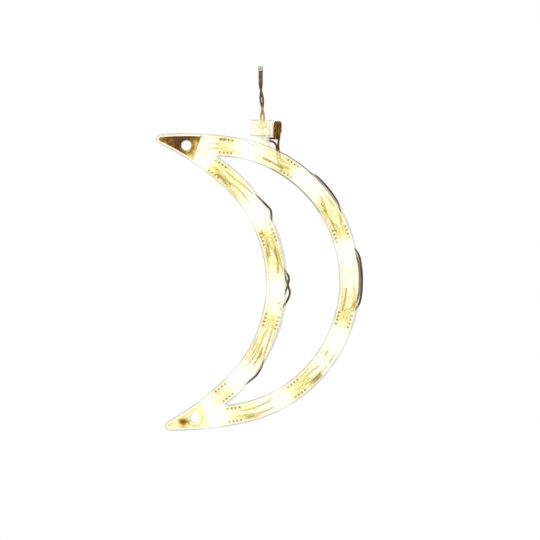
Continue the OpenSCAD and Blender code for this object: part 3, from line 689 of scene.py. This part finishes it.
lamp = {
    "sleeve": 9, "sleeveRadius": 2.9, "lensRadius": 2.5, "lensLength": 8.6, "lensEdge": (0.25, 0.2), "grip": 3,
    "overFlutes": 0.1, "wireGap": 0.3, "wireSide": 1.27,
    # leg, degrees about its centre, and which way along the leg the lens points and the wires go on
    "places": [(0, 54.497, -1), (0, 18.498, -1), (0, -18.498, -1), (0, -54.497, -1), (0, -83.502, -1),
               (1, -53, 1), (1, -17.503, 1), (1, 17.503, 1), (1, 53, 1), (0, 83.502, -1)],
}
# how far behind the middle plane the lamps' axes and the wires behind the lenses lie
lampBack = -floorLevel + crescent["fluteHeight"] + lamp["overFlutes"] + lamp["sleeveRadius"]
wireBack = lampBack + lamp["lensRadius"] + wireRadius + lamp["wireGap"]
wireReach = lamp["sleeve"] / 2 + wireRadius


def legPoint(leg, degrees, across=0):
    return legCentre[leg] + polar(midRadius[leg] + across, degrees)


def behind(x, y, back):
    return crescentPlace @ Vector((x, y, -back))


def wireSeat(number, alongAxis, row):
    # behind a lamp, where the two wires lie side by side
    leg, degrees, turn = lamp["places"][number - 1]
    point = legPoint(leg, degrees, row * turn * lamp["wireSide"]) + turn * alongAxis * polar(1, degrees + 90)
    return behind(point.x, point.y, wireBack)


def fromCap(points):
    return [Vector((capX + x, y, crescent["capBottom"] + z)) for x, y, z in points]


def insideCrimp(side):
    end = cordPoint(side, crescent["crimpBottom"] + slack["inCrimp"])
    return [end, end - Vector((0, 0, slack["belowCrimp"]))]


def intoFirstLamp(row):
    return [wireSeat(1, -wireReach, row), wireSeat(1, 0, row)]


coilX = capX + crescent["capWidth"] / 2 + wireRadius + slack["gap"]
coilZ = crescent["capBottom"] + slack["lead"][4][2] + slack["radius"] - slack["lower"]


def coilPoint(degrees):
    a = radians(degrees)
    return Vector((coilX + slack["pitch"] * degrees / 360, slack["sideY"] - slack["radius"] * sin(a),
                   coilZ - slack["radius"] * cos(a)))


loopCount = int(slack["steps"] * (slack["lastAngle"] - slack["firstAngle"]) / 360)
loops = [coilPoint(slack["firstAngle"] + k * 360 / slack["steps"]) for k in range(loopCount + 1)]
coilPath = (smoothPath(insideCrimp(1) + fromCap(slack["lead"]) + loops[:2], slack["leadStep"]) + loops[2:-1]
            + smoothPath([loops[-1]] + fromCap(slack["tail"]) + intoFirstLamp(-1), slack["tailStep"]))
returnPath = smoothPath(insideCrimp(-1) + fromCap(slack["returnLead"]) + intoFirstLamp(1), slack["tailStep"])
for name, path, node, lay in (("slackCoil", coilPath, "slack_coil", "coiled"),
                              ("returnWire", returnPath, "return_wire", "loose")):
    wire = layWire(name, path, cord["diameter"], coilWire, "brown_wire", 5)
    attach(wire, "crescent")
    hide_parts(node)
    print(name, round(pathLength(path), 1), "mm long")

# the two wires of each span from lamp to lamp: share of the span, offset across the leg, and how far behind
# the middle plane, where that isn't the usual distance
spanStep, spanBack = 0.9, 5.9
spanRoutes = [
    [[(0.16, 3.2, 5.4), (0.22, 4.9), (0.32, 5.8), (0.5, 5.9), (0.66, 5.5), (0.76, 4), (0.84, 2.4, 4.8)],
     [(0.25, -1.6, 3.4), (0.5, -0.4, 3.5), (0.7, -2.8, 3.4), (0.82, -2.4, 3.3)]],
    [[(0.16, 3, 5.3), (0.23, 5), (0.32, 6.1), (0.5, 6.3), (0.68, 6.2), (0.8, 5.6), (0.88, 3.2, 5.3)],
     [(0.16, 0.8, 4.7), (0.23, 3.4), (0.34, 4.85), (0.5, 5.05), (0.68, 4.9), (0.79, 3.6), (0.87, 0.8, 4.8)]],
    [[(0.3, 2.2, 3.6), (0.55, 2.8, 3.8), (0.8, 2, 3.5)],
     [(0.3, -1.8, 3.4), (0.6, -1, 3.5), (0.8, -1.9, 3.3)]],
    [[(0.35, 2.4, 3.5), (0.65, 2.6, 3.6)],
     [(0.35, -2, 3.4), (0.65, -1.2, 3.5)]],
    [],
    [[(0.3, -1.8, 3.4), (0.6, -1.2, 3.5), (0.8, -2, 3.3)],
     [(0.17, 2.6, 5.2), (0.25, 4.3), (0.36, 5.5), (0.48, 5.2), (0.58, 3.4), (0.7, 2.2, 4.4)]],
    [[(0.18, 0.4, 5.4), (0.28, 2.6, 7.2), (0.38, 4.6, 7.5), (0.5, 6.2, 6.9), (0.58, 4.4, 7.2), (0.68, 1.8, 6.9),
      (0.8, 0.2, 5)],
     [(0.15, 2.8, 5.4), (0.21, 4.6, 6), (0.28, 6.2), (0.35, 6.9), (0.43, 5.6, 5.8), (0.52, 4.2, 5.8),
      (0.62, 3, 5.8), (0.74, 2.2, 4.6)]],
    [[(0.3, -1.6, 3.4), (0.6, -1, 3.6), (0.8, -1.8, 3.3)],
     [(0.14, 3, 5.4), (0.19, 4.8), (0.27, 6.5), (0.35, 5.7), (0.45, 4.6), (0.56, 3, 5.4), (0.7, 2, 3.8)]],
    [],
]
# round the inside of the lower tip, and mirrored in the upper one: along the axis of symmetry, across it
turnRoutes = [[(0, -77.2), (-4.4, -76.2), (-6.4, -72.4), (-5.4, -68.2)],
              [(0, -74.6), (-3.5, -73.5), (-4.4, -70.6), (-2.9, -67.9)]]


def spanMiddle(number, route):
    leg, angle = lamp["places"][number - 1][:2]
    nextLeg, nextAngle = lamp["places"][number][:2]
    if leg < nextLeg:
        return [behind(x, y, wireBack) for x, y in turnRoutes[route]]
    if leg > nextLeg:
        return [behind(x, -y, wireBack) for x, y in turnRoutes[route][::-1]]
    middle = []
    for share, offset, *back in spanRoutes[number - 1][route]:
        point = legPoint(leg, angle + (nextAngle - angle) * share, offset)
        middle.append(behind(point.x, point.y, *back or [spanBack]))
    return middle


for number in range(1, len(lamp["places"])):
    for route, row, letter in ((0, -1, "A"), (1, 1, "B")):
        ends = [wireSeat(number, 0, row), wireSeat(number, wireReach, row),
                wireSeat(number + 1, -wireReach, row), wireSeat(number + 1, 0, row)]
        path = smoothPath(ends[:2] + spanMiddle(number, route) + ends[2:], spanStep)
        wire = layWire(f"spanWire{number:02d}{letter}", path, cord["diameter"], spanWire, "copper_wire")
        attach(wire, "crescent")
        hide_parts(f"span_wires_{number:02d}")
print("wires laid")

# the clear channel: loops round the outline, the opening and the eyelets, lofted into walls
shellProfile = {
    # inset from the edge, height towards the front, how much of the dark edge line
    "wall": [(1.62, 5, 0), (1.35, 4.98, 0), (1, 5, 0.12), (0.65, 4.96, 0.75), (0.25, 4.8, 1),
             (0.05, 4.5, 1), (0, 4.2, 0.8), (0, -4.5, 0.4), (0.2, -4.88, 0.8), (0.5, -5, 0.6),
             (1.1, -4.97, 0.3), (1.42, -4.85, 0.3), (1.5, -4.6, 0.1), (1.5, 3.5, 0), (1.62, 3.72, 0),
             (1.85, 3.8, 0)],
    "eyelet": [(3.9, 5, 0), (3.35, 4.98, 0.8), (2.95, 4.9, 1), (2.8, 4.7, 1), (2.8, 1.6, 0.9),
               (2.95, 1.4, 0.9), (3.35, 1.4, 0.7), (3.5, 1.6, 0.5), (3.5, 3.6, 0.3), (3.65, 3.8, 0.1)],
}
arcSteps = {"outerLeg": 156, "innerLeg": 90, "outerFlare": 14, "innerFlare": 22, "tip": 16,
            "openingOuter": 120, "openingInner": 100, "corner": 8, "eyelet": 48, "flute": 100}
# which faces show which material, by their height and their share of the edge line
shellFaces = {"front": 4.9, "frontLine": 0.2, "nearFloor": 0.05, "wallFoot": -4.6, "wallLine": 0.15,
              "eyeletFront": 4.93, "eyeletRing": (3, 3.95)}

tipCentre = Vector((*crescent["tipCentre"], 0))


def heading(vector):
    return atan2(vector.y, vector.x) * (180 / pi)


def onSide(side, vector):
    # the lower half mirrors the upper one
    return Vector((vector.x, side * vector.y, 0))


def flare(radius, leg, degrees, tipRadius):
    # the arc that leaves an edge of the channel and runs into the tip's round end
    normal = polar(1, degrees)
    start = legCentre[leg] + radius * normal
    toTip = tipCentre - start
    flareRadius = (tipRadius ** 2 - toTip.dot(toTip)) / (2 * (toTip.dot(normal) + tipRadius))
    centre = start - flareRadius * normal
    return flareRadius, centre, heading(tipCentre - centre)


outerFlareRadius, outerFlareCentre, outerTipAngle = flare(
    outerRadius, 0, crescent["outerFlare"], crescent["tipRadius"])
innerFlareRadius, innerFlareCentre, innerTipAngle = flare(
    crescent["innerRadius"] - crescent["legWidth"], 1, crescent["innerFlare"], -crescent["tipRadius"])


def outlineLoop(mesh, inset, level):
    tip = [(outerFlareCentre, outerTipAngle - crescent["outerFlare"], arcSteps["outerFlare"]),
           (tipCentre, innerTipAngle + 180 - outerTipAngle, arcSteps["tip"]),
           (innerFlareCentre, crescent["innerFlare"] - innerTipAngle, arcSteps["innerFlare"])]
    lowTip = [(onSide(-1, centre), degrees, steps) for centre, degrees, steps in tip[::-1]]
    closedLoop(mesh, level, polar(outerRadius - inset, -crescent["outerFlare"]), [
        (legCentre[0], 2 * crescent["outerFlare"], arcSteps["outerLeg"]), *tip,
        (legCentre[1], -2 * crescent["innerFlare"], arcSteps["innerLeg"]), *lowTip])


def openingLoop(mesh, outset, level):
    # two arcs with the corners between them rounded
    c, gap = crescent["cornerRadius"], crescent["centreGap"]
    a, b = outerRadius - crescent["legWidth"], crescent["innerRadius"]
    x = ((b + c) ** 2 - (a - c) ** 2 - gap * gap) / 2 / gap
    corner = Vector((x, sqrt((a - c) ** 2 - x * x), 0))
    outerAngle, innerAngle = heading(corner), heading(corner - legCentre[1])
    turn = (180 + innerAngle - outerAngle, arcSteps["corner"])
    closedLoop(mesh, level, polar(a + outset, -outerAngle), [
        (legCentre[0], 2 * outerAngle, arcSteps["openingOuter"]), (corner, *turn),
        (legCentre[1], -2 * innerAngle, arcSteps["openingInner"]), (onSide(-1, corner), *turn)])


def eyeletLoop(centre):
    return lambda mesh, radius, level: circleLoop(mesh, radius, level, centre, arcSteps["eyelet"])


def drawRing(mesh, draw, size, level, line):
    draw(mesh, size, level)
    for vert in mesh.verts:
        vert[mesh.verts.layers.float["rim"]] = line


eyelet = tipCentre + polar(crescent["eyeletIn"], -crescent["eyeletLean"])
eyeletCentres = [onSide(side, eyelet) for side in (1, -1)]
shell = rimMesh()
rimLayer = shell.verts.layers.float["rim"]
frontEdges, floorEdges = [], []
for draw, profile in [(outlineLoop, "wall"), (openingLoop, "wall")] + [
        (eyeletLoop(centre), "eyelet") for centre in eyeletCentres]:
    rings = gather(shell, drawRing, [(draw, *row) for row in shellProfile[profile]])
    frontEdges += rings[0][1]
    floorEdges += rings[-1][1]
    loft(shell, rings)


def lineOn(face):
    return max(vert[rimLayer] for vert in face.verts)


frontWall = [face for face in shell.faces
             if face.calc_center_median().z > shellFaces["front"] and lineOn(face) < shellFaces["frontLine"]]
for edges in (frontEdges, floorEdges):
    bmesh.ops.triangle_fill(shell, use_beauty=True, use_dissolve=False, normal=(0, 0, 1), edges=edges)
litIndex, tipIndex, skinIndex = range(3)
for face in shell.faces:
    face.material_index = skinIndex
for face in frontWall:
    face.material_index = litIndex
# faces inside the tips, beyond the partitions, get the unlit plastic
partitionNormal = polar(1, -crescent["partitionLean"])
partitionPoint = Vector((crescent["corner"][0] - crescent["partitionIn"], crescent["corner"][1], 0))
for side in (1, -1):
    sliced(shell, onSide(side, partitionPoint), onSide(side, partitionNormal))
for face in shell.faces:
    middle = face.calc_center_median()
    inTip = (Vector((middle.x, abs(middle.y), 0)) - partitionPoint).dot(partitionNormal) < 0
    insideFloor = abs(middle.z - floorLevel) < shellFaces["nearFloor"]
    insideWall = shellFaces["wallFoot"] < middle.z < floorLevel and lineOn(face) < shellFaces["wallLine"]
    fromEyelet = min((middle - centre).xy.length for centre in eyeletCentres)
    low, high = shellFaces["eyeletRing"]
    roundEyelet = middle.z > shellFaces["eyeletFront"] and low < fromEyelet < high
    if inTip and insideFloor or roundEyelet:
        face.material_index = tipIndex
    elif insideFloor or insideWall:
        face.material_index = litIndex


def finishMoulding(mesh, name, material, place=crescentPlace):
    return finishPiece(mesh, name, material, "crescent", "clear_channel", ["crescent_frame"], place)


channelShell = finishMoulding(shell, "channelShell", [channelPlastic, tipMaterial, outerSkin])
print("channel shell:", len(channelShell.data.polygons), "faces")

# flutes, ribs and partitions inside the channel
inside = {
    "fluteWidth": 0.5, "flutePitch": 1.2, "fluteCount": 7, "fluteReach": (75, 47), "fluteSides": 8,
    "ribThickness": 0.9, "ribPitch": 2.2, "ribHeight": 4.6, "ribCount": 4, "ribEdge": 0.14,
    "ribClearance": 0.05, "ribInWall": 0.2, "ribInFloor": 0.1,
    "partitionHeight": 8.6, "partitionMiddle": -0.55, "partitionInWall": 0.9, "partitionEdge": 0.2,
}


def spaced(k, count, pitch):
    return (k - (count - 1) / 2) * pitch


def drawFlute(mesh, leg, k):
    reach = inside["fluteReach"][leg]
    point = legPoint(leg, -reach, spaced(k, inside["fluteCount"], inside["flutePitch"]))
    size = sized(inside["fluteWidth"] / 2, 1, crescent["fluteHeight"])
    place = moved(point.x, point.y, floorLevel) @ turned(-reach, "Z") @ size @ turned(90, "X")
    bmesh.ops.create_circle(mesh, cap_ends=True, segments=inside["fluteSides"], radius=1, matrix=place)
    bmesh.ops.spin(mesh, geom=mesh.faces[:], cent=legCentre[leg], axis=(0, 0, 1),
                   angle=radians(2 * reach), steps=arcSteps["flute"])


flutes = bmesh.new()
gather(flutes, drawFlute, [(leg, k) for leg in (0, 1) for k in range(inside["fluteCount"])])
finishMoulding(flutes, "fluteRidges", flutePlastic)

ribs = bmesh.new()
low = lamp["sleeveRadius"] + inside["ribClearance"]
high = crescent["legWidth"] / 2 - crescent["wall"] + inside["ribInWall"]
ribSize = sized(high - low, inside["ribThickness"], inside["ribHeight"])
ribLevel = floorLevel + inside["ribInFloor"] - inside["ribHeight"] / 2
for leg, degrees, _ in lamp["places"]:
    here = moved(*legCentre[leg]) @ turned(degrees, "Z") @ moved(midRadius[leg], 0, 0)
    for side in (-1, 1):
        for k in range(inside["ribCount"]):
            spot = moved(side * (low + high) / 2, spaced(k, inside["ribCount"], inside["ribPitch"]), ribLevel)
            bevelledBlock(ribs, here @ spot @ ribSize, inside["ribEdge"])
finishMoulding(ribs, "gripRibs", ribPlastic)

walls = bmesh.new()
for side in (1, -1):
    # each partition lies between the two edges of its tip and ends inside their walls
    angle = -crescent["partitionLean"] * side
    origin, direction = onSide(side, partitionPoint), polar(1, angle + 90)
    ends = []
    for centre, radius in ((outerFlareCentre, outerFlareRadius - inside["partitionInWall"]),
                           (innerFlareCentre, innerFlareRadius + inside["partitionInWall"])):
        away = origin - onSide(side, centre)
        along = away.dot(direction)
        ends.append(side * sqrt(along * along - away.dot(away) + radius * radius) - along)
    place = moved(*origin) @ turned(angle, "Z") @ moved(0, sum(ends) / 2, inside["partitionMiddle"])
    size = sized(crescent["wall"], abs(ends[0] - ends[1]), inside["partitionHeight"])
    bevelledBlock(walls, place @ size, inside["partitionEdge"])
finishMoulding(walls, "tipPartitions", tipMaterial)

# the neck, hollow for the wires, and the cap on it
axisAt = (capX, 0)


def blockRings(mesh, sizes, rows):
    # loops about the cap's axis, with the dark line that a clear block shows down its corners; each row:
    # which of the sizes, how much wider, level, how much of the line all round
    layer = mesh.verts.layers.float["rim"]
    rings = []
    for part, wider, level, line in rows:
        width, depth = (size + wider for size in sizes[part])
        rings.append(squareLoop(mesh, width, depth, sizes["corner"], level, axisAt))
        for vert in rings[-1][0]:
            fromSide, fromFace = width / 2 - abs(vert.co.x - axisAt[0]), depth / 2 - abs(vert.co.y)
            vert[layer] = max(line, 1 - abs(fromSide - fromFace) / sizes["corner"])
    return rings


neck = {"outside": (8.4, 7.6), "bore": (5, 4.4), "corner": 0.7, "past": 6, "inWall": 1.2, "snapOut": 0.5,
        "snapIn": 0.2, "snapHeight": 0.9, "snapUp": 2.5, "snapShort": 1.2, "snapEdge": 0.2}
tube = rimMesh()
top, foot = crescent["neckTop"], crescent["neckFoot"] - neck["past"]
loft(tube, blockRings(tube, neck, [
    ("bore", 0, foot, 0.2), ("bore", 0, top - 0.3, 0.3), ("bore", 0.5, top, 0.4), ("outside", -0.6, top, 0.6),
    ("outside", 0, top - 0.35, 0.8), ("outside", 0, top - 0.9, 0), ("outside", 0, foot, 0)]), closed=True)
# cut off inside the channel's outer wall, which slopes there
neckNormal = Vector((cos(neckDirection), 0, sin(neckDirection)))
cut = outerCentre + (outerRadius - neck["inWall"]) * neckNormal
bmesh.ops.bridge_loops(tube, edges=sliced(tube, cut, -neckNormal, clearOuter=True))
snapSize = sized(neck["snapOut"] + neck["snapIn"], neck["outside"][1] - neck["snapShort"], neck["snapHeight"])
for side in (-1, 1):
    fromAxis = side * (neck["outside"][0] / 2 + neck["snapOut"] / 2 - neck["snapIn"] / 2)
    spot = moved(capX + fromAxis, 0, crescent["capBottom"] + neck["snapUp"] * neck["snapHeight"])
    bevelledBlock(tube, spot @ snapSize, neck["snapEdge"])
finishMoulding(tube, "neckTube", neckPlastic, Matrix.Identity(4))

capSizes = {"outside": (crescent["capWidth"], 10), "hollow": (8.5, 7.7), "corner": 0.9, "throat": 1.9,
            "mouth": (2.75, 3.05), "mouthTurn": 7.5}
cap = rimMesh()
top, under, bottom = crescent["capTop"], crescent["capUnder"], crescent["capBottom"]
rings = [circleLoop(cap, radius, level, axisAt, turn=capSizes["mouthTurn"]) for radius, level in (
    (capSizes["throat"], under), (capSizes["mouth"][0], top - 0.2), (capSizes["mouth"][1], top))]
rings += blockRings(cap, capSizes, [
    ("outside", -1.3, top, 0.5), ("outside", -0.4, top - 0.2, 0.9), ("outside", 0, top - 0.65, 0.8),
    ("outside", 0, top - 1.1, 0), ("outside", 0, bottom + 0.8, 0), ("outside", 0, bottom + 0.3, 0.8),
    ("outside", -0.5, bottom, 0.9), ("hollow", 0.4, bottom, 0.4), ("hollow", 0, bottom + 0.3, 0.2),
    ("hollow", 0, under, 0.3)])
loft(cap, rings, closed=True)
finishPiece(cap, "capShell", capPlastic, "crescent", "clear_cap", ["neck_cap"])

# crimp, top sleeve and tie
crimp = bmesh.new()
low, high = crescent["crimpBottom"], crescent["crimpTop"]
spinProfile(crimp, [
    (0, low), (2.3, low), (2.6, low + 0.2), (2.7, low + 0.5), (2.7, low + 0.9), (2.35, low + 1.15),
    (2.35, low + 1.75), (2.7, low + 2), (2.7, high - 0.4), (2.55, high - 0.12), (2.2, high), (0, high)],
    moved(capX, 0, 0))
finishPiece(crimp, "crimpSleeve", crimpPlastic, "cord_stop", "crimp", ["cord_crimp"])

sleeve = bmesh.new()
spinProfile(sleeve, [
    (0, -1.15), (1, -1.3), (1.2, -1.4), (1.38, -1.3), (1.45, -1), (1.42, 0), (1.45, 0.9), (1.4, 1.2),
    (1.25, 1.38), (1, 1.4), (0, 1.3)])
finishPiece(sleeve, "topSleeve", topPlastic, "hanger", "pale_sleeve", ["top_sleeve"])

tieSizes = {"leftPast": 0.6, "rightPast": 0.5, "corner": 0.45}
tieLow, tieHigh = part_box("slack_tie")
left = coilPoint(270).x - wireRadius - tieSizes["leftPast"]
right = fromCap(slack["tail"])[2].x + wireRadius + tieSizes["rightPast"]
wide, deep = right - left, (tieHigh.y - tieLow.y) * perMetre
middle = ((right + left) / 2, (tieHigh.y + tieLow.y) * perMetre / 2)
low, high = tieLow.z * perMetre, tieHigh.z * perMetre
tie = bmesh.new()
loft(tie, [
    squareLoop(tie, wide - less, deep - less, tieSizes["corner"], level, middle) for less, level in (
        (0.8, low + 0.12), (0.8, high - 0.12), (0.5, high), (0.3, high), (0, high - 0.15), (0, low + 0.15),
        (0.3, low), (0.5, low))], closed=True)
finishPiece(tie, "coilTie", tiePlastic, "crescent", "tie", ["slack_tie"])

# lamps: a lens on each axis, and the CAD's own leads and sleeves
base, r = lamp["sleeve"] / 2 - lamp["grip"], lamp["lensRadius"]
domeStart = base + lamp["lensLength"] - r
edgeIn, edgeUp = lamp["lensEdge"]
dome = [(r * cos(radians(a)), domeStart + r * sin(radians(a))) for a in range(0, 90, 10)]
lensProfile = [(0, base), (r - edgeIn, base), (r, base + edgeUp)] + dome + [(0, base + lamp["lensLength"])]
for number, (leg, degrees, turn) in enumerate(lamp["places"], 1):
    middle = legPoint(leg, degrees)
    axis = crescentPlace @ moved(middle.x, middle.y, -lampBack) @ turned(degrees, "Z") @ turned(-90 * turn, "X")
    lens = bmesh.new()
    spinProfile(lens, lensProfile, axis)
    finishPiece(lens, f"lampLens{number:02d}", lensPlastic, "crescent", "lens", [f"lamp_lens_{number:02d}"])
    for node, material in ((f"lamp_leads_{number:02d}", leadMetal), (f"lamp_sleeve_{number:02d}", sleevePlastic)):
        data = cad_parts[node].data
        data.materials.clear()
        data.materials.append(material)
print("lamps placed")

# floor, backdrop and light, in metres
studio = {
    "floorPlace": (0.005, 0, -0.3), "floorRadius": 0.31, "floorSides": 64, "world": 0.58, "aim": (0, 0, -0.11),
    "paperGrain": 900, "paperTones": [(0.3, (0.97, 0.97, 0.97)), (0.7, (1, 1, 1))],
    "paper": {"Roughness": 0.9, "Emission Color": (1, 1, 1), "Emission Strength": 0.12},
    # place, size, energy
    "lights": {"keyLight": ((-0.5, -0.8, 0.45), 0.5, 6.3), "fillLight": ((0.7, -0.6, 0), 0.6, 3.6),
               "backLight": ((0.2, 0.8, 0.35), 0.6, 2.7)},
}
floorMaterial, tree, shader = newMaterial("floorPaper")
grain = noiseAt(tree, objectPoint(tree), studio["paperGrain"], 2)
connect(tree, shader, {"Base Color": rampColour(tree, grain, studio["paperTones"]), **studio["paper"]})
floorMesh = bmesh.new()
bmesh.ops.create_circle(floorMesh, cap_ends=True, segments=studio["floorSides"], radius=studio["floorRadius"],
                        matrix=moved(*studio["floorPlace"]))
floor = newObject("floor", meshData(floorMesh, "floor"))
floor.data.materials.append(floorMaterial)

world = bpy.data.worlds.new("studioWorld")
scene.world = world
world.use_nodes = True
tree = world.node_tree
tree.nodes.clear()
# plain white for the camera and for what shows in the plastic, and a softer light for the rest
rays = addNode(tree, "ShaderNodeLightPath").outputs
seen = rays["Is Camera Ray"]
for ray in ("Is Glossy Ray", "Is Transmission Ray"):
    seen = maths(tree, "MAXIMUM", seen, rays[ray])
soft, white = (addNode(tree, "ShaderNodeBackground", {"Color": (1, 1, 1), "Strength": strength}).outputs[0]
               for strength in (studio["world"], 1))
mix = addNode(tree, "ShaderNodeMixShader", {0: seen, 1: soft, 2: white})
addNode(tree, "ShaderNodeOutputWorld", {"Surface": mix.outputs[0]})

for name, (place, size, energy) in studio["lights"].items():
    light = bpy.data.lights.new(name, "AREA")
    light.size = size
    light.energy = energy
    lightObject = newObject(name, light)
    lightObject.location = place
    lightObject.rotation_euler = (Vector(studio["aim"]) - Vector(place)).to_track_quat("-Z", "Y").to_euler()
scene.view_settings.view_transform = "Standard"
print("studio set")
